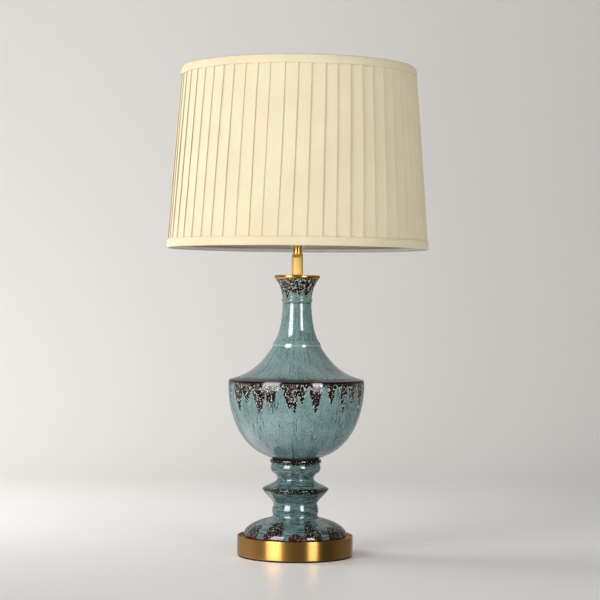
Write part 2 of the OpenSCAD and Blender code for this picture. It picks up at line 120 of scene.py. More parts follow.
def make_lights():
    key = beside(-43, 2.4, 1.21)
    area_light("key_box", key, (0, 0, 1.21), (1.25, 2.4), 41, (1.0, 0.985, 0.96))
    fill = beside(36, 2.4, 0.76)
    area_light("fill_box", fill, (0, 0, 0.76), (0.72, 1.5), 14, (0.98, 0.99, 1.0))
    for name, place, size, power in (
        ("key_glint", beside(-43, 2.38, 1.42), (1.25, 1.98), 40),
        ("fill_glint", beside(36, 2.38, 0.95), (0.72, 1.12), 17),
    ):
        glint = area_light(name, place, (0, 0, place[2]), size, power)
        glint.visible_diffuse = False
    wash = area_light("wall_wash", (-1.6, 0.6, 1.15), (-0.5, 2.6, 0.1), (1.8, 1.4), 33.5)
    wash.visible_glossy = False
    world = bpy.data.worlds.new("studio")
    bpy.context.scene.world = world
    world.use_nodes = True
    tree = world.node_tree
    background = tree.nodes["Background"]
    background.inputs["Strength"].default_value = 1.0
    place = tree.nodes.new("ShaderNodeTexCoord")
    split = tree.nodes.new("ShaderNodeSeparateXYZ")
    tree.links.new(place.outputs["Generated"], split.inputs[0])
    behind = smooth_range(tree, split.outputs["Y"], -0.35, 0.5, 0.14, 0.38)
    right = smooth_range(tree, split.outputs["X"], 0.1, 0.7, 1.0, 0.45)
    room = tree.nodes.new("ShaderNodeMath")
    room.operation = "MULTIPLY"
    tree.links.new(behind, room.inputs[0])
    tree.links.new(right, room.inputs[1])
    room = room.outputs[0]
    path = tree.nodes.new("ShaderNodeLightPath")
    shown = tree.nodes.new("ShaderNodeMix")
    shown.data_type = "FLOAT"
    shown.inputs[2].default_value = 0.3
    tree.links.new(path.outputs["Is Glossy Ray"], shown.inputs[0])
    tree.links.new(reflected_room(tree, split, room), shown.inputs[3])
    tree.links.new(shown.outputs[0], background.inputs["Color"])
    bpy.context.scene.view_settings.view_transform = "Standard"


# --- Mesh helpers ---------------------------------------------------------------------

def new_object(name, points, faces):
    """A smooth-shaded mesh object, linked to the scene."""
    mesh = bpy.data.meshes.new(name)
    mesh.from_pydata([tuple(p) for p in points], [], faces)
    mesh.polygons.foreach_set("use_smooth", [True] * len(mesh.polygons))
    mesh.update()
    piece = bpy.data.objects.new(name, mesh)
    bpy.context.scene.collection.objects.link(piece)
    return piece


def bezier(a, b, c, d, count):
    """Points after a on the curve from a to d with handles b and c."""
    a, b, c, d = (np.array(p, float) for p in (a, b, c, d))
    t = (np.arange(count) + 1)[:, None] / count
    u = 1 - t
    return [tuple(p) for p in u**3 * a + 3 * u * u * t * b + 3 * u * t * t * c + t**3 * d]


def arc(centre, a, b, start, end, count):
    """count + 1 points of an ellipse with half-axes a and b, between two angles in degrees."""
    turns = np.radians(np.linspace(start, end, count + 1))
    return [(centre[0] + a * math.cos(t), centre[1] + b * math.sin(t)) for t in turns]


def refine(outline, step):
    """Adds points on the straight stretches of a closed outline that are longer than step."""
    points = []
    for p, q in zip(outline, outline[1:] + outline[:1]):
        points.append(p)
        pieces = int(math.dist(p, q) // step)
        for i in range(1, pieces):
            points.append(tuple(p[k] + (q[k] - p[k]) * i / pieces for k in (0, 1)))
    return points


def turned(name, outline, segments, facts=None, shape=None):
    """Turns a closed (radius, height) outline in millimetres round the axis.

    shape(angle, r, z) may return new radii and heights. facts maps the name of a vertex
    attribute to a function of (angle, r, z) that gives its values.
    """
    ring = np.array(outline, float)
    if area_of(ring) < 0:
        ring = ring[::-1]
    angle = np.arange(segments) * 2 * math.pi / segments
    angle_grid, r = np.meshgrid(angle, ring[:, 0], indexing="ij")
    z = np.broadcast_to(ring[:, 1], r.shape)
    values = {k: f(angle_grid, r, z) for k, f in (facts or {}).items()}
    if shape:
        r, z = shape(angle_grid, r, z)
    points = np.stack([r * np.sin(angle_grid), -r * np.cos(angle_grid), z], -1).reshape(-1, 3)
    count = len(ring)
    i, j = np.meshgrid(np.arange(segments), np.arange(count), indexing="ij")
    after_i, after_j = (i + 1) % segments, (j + 1) % count
    quads = np.stack(
        [i * count + j, after_i * count + j, after_i * count + after_j, i * count + after_j], -1
    ).reshape(-1, 4)
    piece = new_object(name, points * MM, [tuple(q) for q in quads.tolist()])
    for key, value in values.items():
        layer = piece.data.attributes.new(key, "FLOAT", "POINT")
        layer.data.foreach_set("value", np.ascontiguousarray(value, np.float32).ravel())
    return piece


def area_of(ring):
    """Signed area of a closed outline, above 0 when it runs counterclockwise."""
    x, y = ring[:, 0], ring[:, 1]
    return float((x * np.roll(y, -1) - y * np.roll(x, -1)).sum()) / 2


def stand_in(piece, node, body, material):
    """piece is shown in place of a CAD node, rides on its body and takes the given material."""
    piece.data.materials.append(material)
    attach(piece, body)
    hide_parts(node)


# --- Materials ------------------------------------------------------------------------

class Paint:
    """A material's node tree, with one short call for each kind of node used here."""

    def __init__(self, name):
        self.material = bpy.data.materials.new(name)
        self.material.use_nodes = True
        self.tree = self.material.node_tree
        self.shader = self.tree.nodes["Principled BSDF"]

    def node(self, kind, inputs=None, **settings):
        node = self.tree.nodes.new(kind)
        for key, value in settings.items():
            setattr(node, key, value)
        for key, value in (inputs or {}).items():
            self.feed(node.inputs[key], value)
        return node

    def feed(self, socket, value):
        if isinstance(value, bpy.types.NodeSocket):
            self.tree.links.new(value, socket)
        elif socket.type == "RGBA" and len(value) == 3:
            socket.default_value = (*value, 1)
        else:
            socket.default_value = value

    def set(self, **values):
        """Shader inputs by name, with _ for a space."""
        for key, value in values.items():
            self.feed(self.shader.inputs[key.replace("_", " ")], value)

    def place(self):
        return self.node("ShaderNodeTexCoord").outputs["Object"]

    def fact(self, name):
        return self.node("ShaderNodeAttribute", attribute_name=name).outputs["Fac"]

    def math(self, operation, *values):
        inputs = dict(enumerate(values))
        return self.node("ShaderNodeMath", inputs, operation=operation).outputs[0]

    def vector(self, operation, *values):
        inputs = dict(enumerate(values))
        return self.node("ShaderNodeVectorMath", inputs, operation=operation).outputs[0]

    def split(self, vector):
        return self.node("ShaderNodeSeparateXYZ", {0: vector}).outputs

    def join(self, x, y, z):
        return self.node("ShaderNodeCombineXYZ", {0: x, 1: y, 2: z}).outputs[0]

    def noise(self, vector, scale, detail=2.0, roughness=0.5):
        inputs = {"Vector": vector, "Scale": scale, "Detail": detail, "Roughness": roughness}
        return self.node("ShaderNodeTexNoise", inputs).outputs["Fac"]

    def cells(self, vector, scale):
        """Distance to the nearest of many scattered points."""
        inputs = {"Vector": vector, "Scale": scale}
        return self.node("ShaderNodeTexVoronoi", inputs).outputs["Distance"]

    def wave(self, vector, scale, direction, distortion, detail):
        inputs = {
            "Vector": vector, "Scale": scale, "Distortion": distortion, "Detail": detail,
        }
        return self.node(
            "ShaderNodeTexWave", inputs, wave_type="BANDS", bands_direction=direction
        ).outputs["Fac"]

    def step(self, value, low, high, out_low=0.0, out_high=1.0):
        """Rises smoothly from out_low at low to out_high at high."""
        inputs = {"Value": value, 1: low, 2: high, 3: out_low, 4: out_high}
        return self.node(
            "ShaderNodeMapRange", inputs, interpolation_type="SMOOTHSTEP"
        ).outputs[0]

    def mix(self, factor, a, b, blend="MIX"):
        node = self.node("ShaderNodeMix", data_type="RGBA", blend_type=blend)
        self.feed(node.inputs["Factor"], factor)
        self.feed(node.inputs["A"], a)
        self.feed(node.inputs["B"], b)
        return node.outputs["Result"]

    def bump(self, height, distance, strength):
        inputs = {"Height": height, "Distance": distance, "Strength": strength}
        return self.node("ShaderNodeBump", inputs).outputs["Normal"]

    def round_place(self, along=1.0, radius=0.1):
        """Place on a cylinder of that radius, so that a pattern narrows as the piece does."""
        x, y, z = self.split(self.place())
        outward = self.vector("NORMALIZE", self.join(x, y, 0.0))
        scaled = self.node("ShaderNodeVectorMath", {0: outward, "Scale": radius},
                           operation="SCALE").outputs[0]
        flat = self.split(scaled)
        return self.join(flat[0], flat[1], self.math("MULTIPLY", z, along))


def srgb(r, g, b):
    """Linear colour from 0-255 screen values."""
    def linear(v):
        v /= 255
        return v / 12.92 if v <= 0.04045 else ((v + 0.055) / 1.055) ** 2.4
    return (linear(r), linear(g), linear(b))


def floor_paint():
    """Pale floor with painted light: lighter in front of the lamp, a little darker towards the
    wall behind.
    """
    paint = Paint("studio_floor")
    # Painted light: the floor is painted lighter in front of the lamp, up to y = 0.2 m, and
    # darker by y = 1.4 m.
    painted_light_front = paint.step(paint.split(paint.place())[1], 0.2, 1.4, 1.0, 0.0)
    tone = paint.mix(painted_light_front, srgb(239, 236, 232), srgb(252, 250, 247))
    paint.set(Base_Color=tone, Roughness=0.35)
    paint.set(Specular_IOR_Level=0.15)
    return paint.material


def glaze_paint():
    """Blue-green glaze with streaks, dark crystal drips and bare brown edges, with painted shade
    low down and painted shadow on the foot's bottom rim.
    """
    paint = Paint("glaze")
    place = paint.place()
    depth = ragged_depth(paint)
    inside = paint.step(depth, -0.12, 0.12)
    teal = teal_ground(paint, place)
    outline = paint.math(
        "MULTIPLY", paint.step(depth, -1.2, -0.3), paint.step(paint.noise(place, 55), 0.5, 0.6)
    )
    glaze = paint.mix(paint.math("MULTIPLY", outline, 0.6), teal, srgb(196, 220, 222))
    glaze = paint.mix(inside, glaze, crystal_tone(paint, place, depth))

    edge = paint.math("ADD", paint.fact("edge"), paint.math(
        "MULTIPLY", paint.math("SUBTRACT", paint.noise(place, 420, 2, 0.6), 0.5), 0.5))
    glaze = paint.mix(paint.step(paint.fact("edge"), -0.8, -0.2, 0.6, 0.0), glaze,
                      srgb(186, 190, 180))
    glaze = paint.mix(paint.step(edge, 0.1, 0.7, 0.0, 0.85), glaze, srgb(58, 44, 38))
    # Black on the strongest edges: the urn's shoulder rim and the collar top, and painted shadow
    # on the foot's bottom rim.
    glaze = paint.mix(paint.step(edge, 0.75, 0.95), glaze, srgb(14, 9, 7))

    # Painted shade: the glaze is darkened low down, fully below 148 mm and fading out by 200 mm,
    # as if less light reached the bottom of the bowl and the pedestal.
    low = paint.step(paint.split(place)[2], 0.148, 0.2, 0.5, 0.0)
    glaze = paint.mix(low, glaze, srgb(92, 120, 124), "MULTIPLY")
    paint.set(Base_Color=glaze, Roughness=paint.step(edge, 0.1, 0.5, 0.06, 0.11), IOR=1.55)
    paint.set(Coat_Weight=paint.step(inside, 0.0, 1.0, 0.7, 0.12), Coat_Roughness=0.04)
    ripple = paint.noise(place, 26, 2, 0.5)
    height = paint.math("ADD", paint.math("MULTIPLY", inside, 0.25), ripple)
    paint.set(Normal=paint.bump(height, 0.00012, 0.4))
    return paint.material


def ragged_depth(paint):
    """The drip fact with a ragged edge, in mm: above 0 inside the dark glaze."""
    wide = paint.math("SUBTRACT", paint.noise(paint.round_place(along=0.5), 190, 2, 0.5), 0.5)
    small = paint.math("SUBTRACT", paint.noise(paint.round_place(along=0.8), 620, 2, 0.6), 0.5)
    calm = paint.math("SUBTRACT", 7.0, paint.math("MULTIPLY", paint.fact("red"), 4.0))
    depth = paint.math("ADD", paint.fact("drip"), paint.math("MULTIPLY", wide, calm))
    return paint.math("ADD", depth, paint.math("MULTIPLY", small, 4.0))


def teal_ground(paint, place):
    """Mottled teal with dark dashes that run down the urn and round the pedestal."""
    cloud = paint.noise(place, 40, 3, 0.5)
    teal = paint.mix(paint.step(cloud, 0.3, 0.7), srgb(104, 137, 140), srgb(131, 162, 162))
    fine = paint.noise(place, 560, 2, 0.6)
    teal = paint.mix(paint.step(fine, 0.4, 0.75, 0.0, 0.8), teal, srgb(160, 184, 180))
    dark_fine = paint.noise(place, 430, 2, 0.6)
    teal = paint.mix(paint.step(dark_fine, 0.53, 0.68, 0.0, 0.7), teal, srgb(66, 98, 103))
    flow = paint.round_place(along=0.11)
    thin = paint.step(paint.noise(flow, 560, 2, 0.55), 0.575, 0.605)
    broad = paint.step(paint.noise(flow, 210, 2, 0.5), 0.52, 0.75, 0.0, 0.35)
    where = paint.step(paint.noise(flow, 70, 2, 0.5), 0.47, 0.55)
    streak = paint.math("MAXIMUM", paint.math("MULTIPLY", thin, where), broad)
    fine_lay = paint.noise(paint.round_place(along=22.0), 30, 3, 0.6)
    wide_lay = paint.noise(paint.round_place(along=14.0), 13, 2, 0.5)
    swept = paint.step(fine_lay, 0.38, 0.48, 0.75, 0.0)
    teal = paint.mix(paint.math("MULTIPLY", swept, paint.fact("brushed")), teal,
                     srgb(156, 186, 184))
    brush = paint.math("MAXIMUM", paint.step(fine_lay, 0.525, 0.6),
                       paint.step(wide_lay, 0.5, 0.72, 0.0, 0.55))
    lines = paint.node("ShaderNodeMix", {0: paint.fact("brushed"), 2: streak, 3: brush},
                       data_type="FLOAT").outputs[0]
    return paint.mix(paint.math("MULTIPLY", lines, 0.9), teal, srgb(28, 48, 54))


def crystal_tone(paint, place, depth):
    """Black-brown glaze with cream specks at its edge and a purple or red-brown core."""
    core = paint.step(depth, 2.5, 5.0)
    umber = paint.mix(paint.fact("red"), srgb(66, 47, 52), srgb(88, 38, 25))
    patchy = paint.step(paint.noise(place, 130, 2, 0.5), 0.42, 0.58)
    core = paint.math("MULTIPLY", core, patchy)
    core = paint.math("MULTIPLY", core, paint.step(paint.fact("brushed"), 0.4, 0.6, 1.0, 0.0))
    core = paint.math("MAXIMUM", core, paint.step(paint.fact("red"), 0.45, 0.9))
    ground = paint.mix(core, srgb(17, 11, 9), umber)
    drawn = paint.vector("MULTIPLY", place, (1.0, 1.0, 0.72))
    spacing = paint.cells(drawn, 470)
    crowd = paint.noise(place, 240, 1, 0.5)
    bar = paint.math("ADD", paint.step(crowd, 0.35, 0.65, 0.25, 0.49),
                     paint.math("MULTIPLY", core, -0.1))
    bar = paint.math("SUBTRACT", bar, paint.math("MULTIPLY", paint.fact("brushed"), 0.06))
    pale = paint.step(paint.math("SUBTRACT", bar, spacing), 0.0, 0.05)
    pale = paint.math("MULTIPLY", pale, paint.step(depth, 0.1, 0.6))
    pale = paint.math("MULTIPLY", pale, paint.step(paint.fact("edge"), 0.15, 0.6, 1.0, 0.1))
    cream = paint.mix(paint.noise(place, 200, 1), srgb(242, 232, 208), srgb(186, 206, 202))
    return paint.mix(paint.math("MULTIPLY", pale, 0.92), ground, cream)


def brass_paint(name="brass", colour=(224, 168, 94), roughness=0.33, brushed=0.98, turn=0.25):
    """Turned brass: fine lines round the piece, so that glints spread up and down.

    With turn at 0 the lines run lengthwise and glints spread round the piece.
    """
    paint = Paint(name)
    rings = paint.noise(paint.round_place(radius=0.0001), 2600, 2, 0.6)
    cloud = paint.noise(paint.place(), 60, 3, 0.6)
    tone = paint.mix(cloud, srgb(*colour), srgb(*(c * 0.94 for c in colour)))
    paint.set(Base_Color=tone, Metallic=1.0)
    paint.set(Roughness=paint.step(rings, 0.3, 0.7, roughness - 0.03, roughness + 0.05))
    paint.set(Anisotropic=brushed, Anisotropic_Rotation=turn)
    tangent = paint.node("ShaderNodeTangent", direction_type="RADIAL", axis="Z")
    paint.set(Tangent=tangent.outputs[0])
    paint.set(Normal=paint.bump(rings, 0.00001, 0.2))
    return paint.material


def cloth_paint(name, colour, shade):
    """Fine plain weave, with painted shade: greyer inside the shade and along the fold over the
    top rim.
    """
    paint = Paint(name)
    x, y, z = paint.split(paint.place())
    turn = paint.math("ARCTAN2", x, paint.math("MULTIPLY", y, -1.0))
    around = paint.math("MULTIPLY", turn, 0.19)
    weave_place = paint.join(around, z, 0.0)
    warp = paint.wave(weave_place, 1150, "X", 1.2, 1.0)
    weft = paint.wave(weave_place, 1150, "Y", 1.2, 1.0)
    weave = paint.math("MULTIPLY", warp, weft)
    slub = paint.noise(paint.join(around, paint.math("MULTIPLY", z, 0.08), 0.0), 900, 2, 0.6)
    cloud = paint.noise(weave_place, 14, 3, 0.6)
    tone = paint.mix(paint.step(cloud, 0.35, 0.65), srgb(*colour), srgb(*shade))
    tone = paint.mix(paint.math("MULTIPLY", slub, 0.12), tone, srgb(*(c * 0.86 for c in colour)))
    tone = paint.mix(paint.math("MULTIPLY", weave, 0.15), tone, srgb(*(c * 0.9 for c in colour)))
    # Painted shade: the cloth is greyer where it turns inside the shade, and faintly along the
    # fold over the top rim.
    tone = paint.mix(paint.fact("cloth_painted_shade"), tone, srgb(190, 181, 166))
    paint.set(Base_Color=tone, Roughness=0.85)
    paint.set(Sheen_Weight=0.1, Sheen_Roughness=0.5, Specular_IOR_Level=0.08)
    paint.set(Normal=paint.bump(weave, 0.00012, 0.35))
    return paint.material


def plain_paint(name, colour, roughness, metallic=0.0, grain=400.0, depth=0.0001, vary=0.85):
    """A simple solid finish with grain, uneven tone and uneven gloss."""
    paint = Paint(name)
    place = paint.place()
    tone = paint.mix(
        paint.noise(place, grain * 0.2, 4, 0.6), srgb(*colour), srgb(*(c * vary for c in colour))
    )
    fine = paint.noise(place, grain, 3, 0.6)
    paint.set(Base_Color=tone, Metallic=metallic)
    paint.set(Roughness=paint.step(fine, 0.2, 0.8, roughness * 0.85, min(1.0, roughness * 1.15)))
    paint.set(Normal=paint.bump(fine, depth, 0.4))
    return paint.material


# --- Ceramic --------------------------------------------------------------------------

WALL = 5.0
ROD_HOLE_R = 5.4
FOOT_BOTTOM = 27.0
DOME_TOP = 60.0
FLANGE_R, FLANGE_Z = 50.4, 101.4
COLLAR_R, COLLAR_FROM, COLLAR_TOP = 39.0, 138.0, 146.5
BOWL_BOTTOM = 149.1
SHOULDER = 268.0
NECK_RING, NECK_GROOVE = 318.0, 384.8
MOUTH = 421.5
OUTSIDE = -20.0


def pedestal_outline():
    centre, dome_r, dome_h = FOOT_BOTTOM + 4.5, 78.5, 29.8
    outside = (
        [(75.7, FOOT_BOTTOM)]
        + arc((75.5, centre), 3, 4, -60, 0, 8)
        + arc((0, centre), dome_r, dome_h, 3, 62, 60)
        + bezier((36.8, 57.8), (34.9, 59), (34, 60.6), (34, 63.2), 12)
        + bezier((34, 63.2), (34.2, 64.6), (35.1, 65.2), (35.2, 69.5), 14)
        + bezier((35.2, 69.5), (35.2, 73.5), (33.6, 76), (33.2, 79.5), 16)
        + bezier((33.2, 79.5), (35, 85), (43, 90.6), (FLANGE_R, 100.8), 44)
        + arc((49.3, 101.9), 1.1, 1.1, -20, 90, 8)
        + bezier((49.3, 103), (43, 108.6), (27.8, 111), (27.8, 118), 44)
        + bezier((27.8, 118), (27.8, 122.8), (33.6, 125.4), (36.4, 128), 26)
        + arc((34.9, 134.2), 3.1, 7, -60, 52, 20)
        + bezier((36.8, 139.7), (37.3, 140.9), (38.4, 141.3), (COLLAR_R, 142.8), 8)
        + [(COLLAR_R, COLLAR_TOP - 0.6), (38.8, COLLAR_TOP - 0.2), (38.4, COLLAR_TOP)]
    )
    inside = (
        [(ROD_HOLE_R, COLLAR_TOP), (ROD_HOLE_R, DOME_TOP)]
        + arc((0, centre), dome_r - WALL, dome_h - WALL, 80, 6, 16)
        + [(70.5, FOOT_BOTTOM)]
    )
    return outside, inside


def urn_outline():
    rim, ring, groove, equator = 102.4, NECK_RING, NECK_GROOVE, 260.0
    outside = (
        [(36.4, BOWL_BOTTOM)]
        + bezier((37, BOWL_BOTTOM), (86, 163.7), (103.6, 214.6), (103.6, equator), 104)
        + bezier((103.6, equator), (103.6, 263), (103.3, 266), (rim, SHOULDER), 14)
        + bezier((rim, SHOULDER), (81.1, 273.6), (59.5, 281.5), (36.9, ring), 52)
        + bezier((36.9, ring), (36.8, 320.5), (36.4, 323), (35, 325), 12)
        + bezier((35, 325), (26.5, 334), (22, 363), (22, groove), 40)
        + arc((21.6, groove + 4), 1.9, 3.2, -75, 75, 14)
        + bezier((22.5, groove + 7.6), (22.6, 403), (27.5, 414.7), (32.6, MOUTH - 1), 34)
        + [(32.3, MOUTH - 0.3), (31.6, MOUTH)]
    )
    inside = (
        [(27, MOUTH)]
        + bezier((27, MOUTH - 1), (20, 410), (17, 395), (17, groove), 8)
        + bezier((17, groove), (17, 363), (22, 330), (32, 314), 10)
        + bezier((32, 314), (52, 279), (78, 268), (94.6, 265), 10)
        + bezier((98.6, equator), (98.6, 216), (84, 169), (36, BOWL_BOTTOM + WALL), 14)
        + [(ROD_HOLE_R, BOWL_BOTTOM + WALL), (ROD_HOLE_R, BOWL_BOTTOM)]
    )
    return outside, inside


def degrees_apart(angle, centre):
    """Signed difference of angles, in degrees, from -180 to 180."""
    return (np.degrees(angle) - centre + 180) % 360 - 180


# Drips under the shoulder at the front: angle and half-width in degrees, length in mm
FRONT_DRIPS = [
    (-75, 3.6, 34), (-57, 5.4, 43), (-45.5, 5.2, 30), (-32, 6.4, 43), (-21.5, 4.6, 35),
    (-5.5, 5.4, 36), (-1.5, 3.0, 45), (5, 3.4, 29), (16.5, 4.6, 44), (30.5, 3.6, 30),
    (43, 3.4, 46), (54, 4.0, 30), (68, 4.4, 42),
]


def back_drips():
    """Drips for the side that the front list leaves out, alike in size and spacing."""
    draw = random.Random(7)
    drips, angle = [], 80.0
    while angle < 275:
        drips.append((angle, draw.uniform(3.2, 6.0), draw.uniform(28, 46)))
        angle += draw.uniform(9.5, 14.0)
    return drips


def drip_field(angle, r, z):
    """How far inside a dark drip a point of the urn is, in mm; negative outside."""
    field = np.full(z.shape, OUTSIDE)
    down = SHOULDER - 2 - z
    for centre, half_width, length in FRONT_DRIPS + back_drips():
        fall = np.clip(down / length, 0, 1.3)
        width = half_width * (1.26 - 1.1 * fall**1.6)
        across = np.abs(degrees_apart(angle, centre)) - width
        inside = np.maximum(np.radians(across) * r, down - length)
        field = np.where(down > -4, np.maximum(field, -inside), field)
    rim = 5.2 - np.abs(down + 0.6)
    field = np.maximum(field, rim)
    lobes = 3.4 * np.cos(9 * angle + 3.3) + 1.6 * np.sin(14 * angle + 2.0)
    neck = np.minimum((z - (399.0 + lobes)) * 0.5, 2.6)
    field = np.where(z > 385, np.maximum(field, neck), field)
    return np.clip(field, OUTSIDE, 12)


def urn_edge(angle, r, z):
    """1 on a bare brown edge, up to 0.87 on a dark line along the neck groove and on dotted
    lines at the neck ring, -1 where the glaze is thin and pale, 0 elsewhere.
    """
    above = np.where(z >= SHOULDER - 0.5, 0.66 * np.exp(-(((z - SHOULDER) / 6.0) ** 2)), 0)
    below = np.where(z < SHOULDER, 0.7 * np.exp(-(((z - SHOULDER) / 4.5) ** 2)), 0)
    edge = np.where(np.abs(z - SHOULDER + 0.8) < 1.7, 1.3, above + below)
    # A darker line along the neck groove, at the foot of the bead.
    groove = 0.62 + 0.25 * np.sin(5 * angle + 1) * np.sin(13 * angle)
    edge = np.maximum(edge, groove * np.exp(-(((z - NECK_GROOVE + 0.2) / 1.2) ** 2)))
    dots = np.clip(np.sin(angle * 27 + 3 * np.sin(angle * 5)), 0, 1)
    for height in (NECK_RING - 0.8, NECK_RING + 11):
        edge = np.maximum(edge, 0.8 * dots * np.exp(-(((z - height) / 1.1) ** 2)))
    thin = np.exp(-(((z - NECK_RING - 2.4) / 1.3) ** 2))
    return np.where(edge > 0.05, edge, -thin)


# Dark patches on the foot: angle, height, half-width in degrees, half-height in mm
FOOT_PATCHES = [
    (-90, 44, 18, 20), (-57, 36, 10.5, 14), (-26, 38, 12, 17), (1, 33.5, 8.5, 8),
    (21, 38.5, 10.5, 16), (51, 35.5, 10, 13), (78, 46, 17, 18), (116, 36, 12, 14),
    (143, 34, 8, 8), (168, 38, 13, 16), (200, 35, 9, 10), (232, 38, 12, 16),
]


def foot_field(angle, r, z):
    """How far inside a dark patch a point of the foot is, in mm; negative outside."""
    field = np.full(z.shape, OUTSIDE)
    for centre, height, half_width, half_height in FOOT_PATCHES:
        across = degrees_apart(angle, centre) / half_width
        up = (z - height) / half_height
        reach = (np.abs(across) ** 2.6 + np.abs(up) ** 2.6) ** (1 / 2.6)
        field = np.maximum(field, (1 - reach) * half_height * 0.9)
    field = np.where(z > DOME_TOP, OUTSIDE, field)
    tip = 5.0 - np.hypot(np.maximum(0, FLANGE_R - r), z - FLANGE_Z)
    field = np.maximum(field, np.where(r > 40, tip, OUTSIDE))
    collar = 4.2 - np.abs(z - COLLAR_TOP + 2.5)
    return np.maximum(field, np.where(z > COLLAR_FROM, collar, OUTSIDE))


def foot_edge(angle, r, z):
    """Bare brown edges of the foot: flange tip, collar top and bottom rim; the bottom rim's
    black is also painted shadow, in the gap inside the brass dish.
    """
    edge = np.where((z > DOME_TOP) & (r > FLANGE_R - 1.1), 0.25, 0.0)
    edge = np.maximum(edge, np.where(z > COLLAR_TOP - 0.4, 1.3, 0.0))
    # Painted shadow: below 31.2 mm the foot gets the full black edge, where it sits in the gap
    # inside the brass dish.
    return np.maximum(edge, np.where(z < FOOT_BOTTOM + 4.2, 1.0, 0.0))


def foot_red(angle, r, z):
    """How red the dark glaze is: most low on the dome, some on the collar."""
    return np.clip((46 - z) / 11, 0, 1) + np.where(z > COLLAR_FROM, 0.4, 0.0)


def make_ceramic():
    glaze = glaze_paint()
    outside, inside = pedestal_outline()
    foot_facts = {
        "drip": foot_field,
        "edge": foot_edge,
        "red": foot_red,
        "brushed": lambda angle, r, z: np.ones(z.shape),
    }
    foot = turned("pedestal_glazed", outside + inside, 320, foot_facts)
    stand_in(foot, "pedestal_foot", "lamp", glaze)
    outside, inside = urn_outline()
    urn_facts = {
        "drip": drip_field,
        "edge": urn_edge,
        "red": lambda angle, r, z: np.zeros(z.shape),
        "brushed": lambda angle, r, z: np.zeros(z.shape),
    }
    urn = turned("urn_glazed", outside + inside, 320, urn_facts)
    stand_in(urn, "urn_body", "lamp", glaze)


# --- Brass ----------------------------------------------------------------------------

BASE_R, BASE_TOP, PAD = 88.0, 31.0, 2.5


def make_brass():
    brass = brass_paint()
    wall = 1.6
    inner = BASE_R - wall
    base = turned("base_turned", refine(
        [(5.2, 25.4), (inner, 25.4), (inner, PAD)]
        + arc((BASE_R - 0.8, PAD + 0.8), 0.8, 0.8, -90, 0, 6)
        + arc((BASE_R - 0.5, BASE_TOP - 0.5), 0.5, 0.5, 0, 90, 6)
        + arc((inner + 0.4, BASE_TOP - 0.4), 0.4, 0.4, 90, 180, 5)
        + arc((inner - 1.5, 28.5), 1.5, 1.5, 0, -90, 6)
        + [(5.2, FOOT_BOTTOM)], 6
    ), 512)
    stand_in(base, "brass_base", "lamp", brass)
    cap_top = MOUTH + 5.5
    cap = turned("neck_cap_turned", refine(
        [(5.2, MOUTH - 4), (24, MOUTH - 4), (24, MOUTH), (33.0, MOUTH), (33.3, MOUTH + 0.3)]
        + bezier((33.3, MOUTH + 0.3), (34.4, MOUTH + 1), (34.8, MOUTH + 2),
                 (34.8, MOUTH + 3.2), 10)
        + arc((33.6, cap_top - 1.6), 1.2, 1.6, 0, 90, 8)
        + [(5.2, cap_top)], 5
    ), 384)
    polished = brass_paint("polished_brass", (236, 186, 96), 0.18, 0.3)
    stand_in(cap, "neck_cap", "lamp", polished)
    top, r = 459.7, 8.6
    lower = turned("lower_tube_turned", refine(
        [(7.4, cap_top), (r - 0.8, cap_top)]
        + arc((r - 0.7, cap_top + 0.8), 0.7, 0.7, -70, 0, 4)
        + [(r, top - 2.6), (r - 0.35, top - 2.35), (r - 0.35, top - 2.1)]
        + arc((r - 0.7, top - 0.8), 0.7, 0.8, -50, 90, 8)
        + [(5.2, top), (5.2, top - 2), (7.4, top - 2)], 4
    ), 128)
    # The lower tube's brass is rougher, a real satin finish, and painted a lighter colour than
    # the other brass: painted light that makes the tube brighter.
    satin_painted_light = brass_paint("satin_brass_painted_light", (250, 212, 134), 0.55, 0.7, 0.0)
    stand_in(lower, "lower_tube", "lamp", satin_painted_light)
    repaint("upper_tube", polished)
    for name in ("harp_saddle", "harp_sleeve_left", "harp_sleeve_right",
                 "finial_bush", "finial_knob"):
        repaint(name, brass)


# --- Small CAD parts ------------------------------------------------------------------

def repaint(name, material):
    """Gives a CAD node a detailed material."""
    data = nodes[name].data
    data.materials.clear()
    data.materials.append(material)


